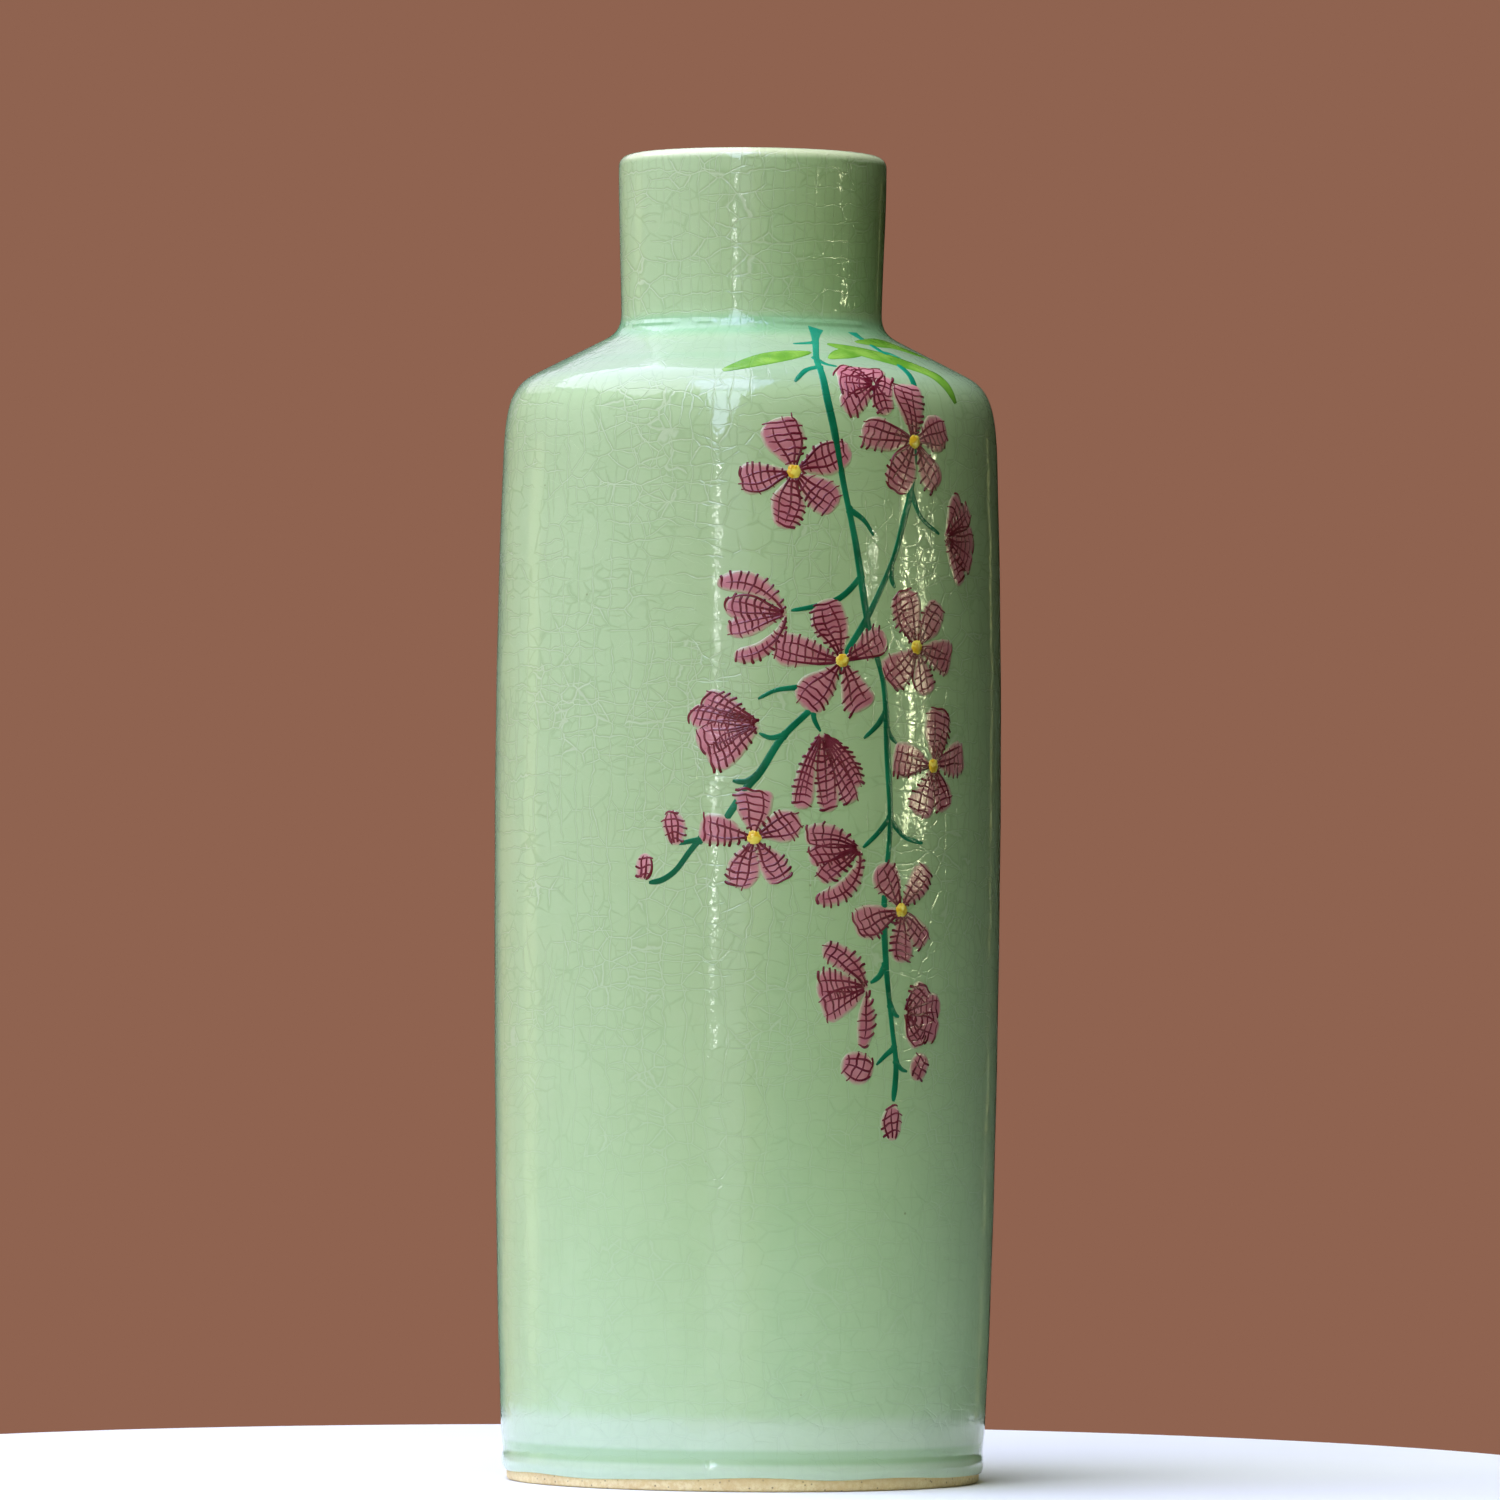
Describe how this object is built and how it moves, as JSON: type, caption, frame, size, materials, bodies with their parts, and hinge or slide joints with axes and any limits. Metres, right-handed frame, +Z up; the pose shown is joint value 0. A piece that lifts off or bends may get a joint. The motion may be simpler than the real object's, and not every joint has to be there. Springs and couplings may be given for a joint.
{
  "type": "bud vase",
  "caption": "Tall round-shouldered ceramic bottle vase with a short straight neck, crackled pale green glaze and a hanging flower spray painted on one side.",
  "frame": {"origin": "centre of the foot, on the surface that the vase stands on", "axes": "+Z up along the vase's axis, -Y out of the front, in line with the left half of the painted spray, and +X to the right seen from the front"},
  "size_m": [0.0776, 0.0786, 0.203],
  "materials": {
    "stoneware": "bare fired clay, pale tan, matte",
    "celadon_glaze": "glossy pale green celadon with a fine crackle, paler on the lip",
    "petal_enamel": "semi-gloss mauve enamel, brushed thin, with darker vein lines",
    "centre_enamel": "thick yellow enamel dabs, semi-gloss",
    "stem_enamel": "semi-gloss dark teal green enamel",
    "leaf_enamel": "semi-gloss leaf green enamel"
  },
  "bodies": {
    "root": {"stoneware_body": "stoneware", "outer_glaze": "celadon_glaze", "inner_glaze": "celadon_glaze", "base_glaze": "celadon_glaze", "flower_1": "petal_enamel", "flower_1_centre": "centre_enamel", "flower_2": "petal_enamel", "flower_2_centre": "centre_enamel", "flower_3": "petal_enamel", "flower_3_centre": "centre_enamel", "flower_4": "petal_enamel", "flower_4_centre": "centre_enamel", "flower_5": "petal_enamel", "flower_5_centre": "centre_enamel", "flower_6": "petal_enamel", "flower_6_centre": "centre_enamel", "flower_7": "petal_enamel", "flower_7_centre": "centre_enamel", "side_flower_1": "petal_enamel", "side_flower_2": "petal_enamel", "side_flower_3": "petal_enamel", "side_flower_4": "petal_enamel", "side_flower_5": "petal_enamel", "side_flower_6": "petal_enamel", "side_flower_7": "petal_enamel", "side_flower_8": "petal_enamel", "bud_1": "petal_enamel", "bud_2": "petal_enamel", "bud_3": "petal_enamel", "bud_4": "petal_enamel", "bud_5": "petal_enamel", "main_stem": "stem_enamel", "upper_side_stem": "stem_enamel", "lower_side_stem": "stem_enamel", "left_leaf": "leaf_enamel", "right_leaf": "leaf_enamel", "back_leaf": "leaf_enamel"}
  },
  "joints": []
}
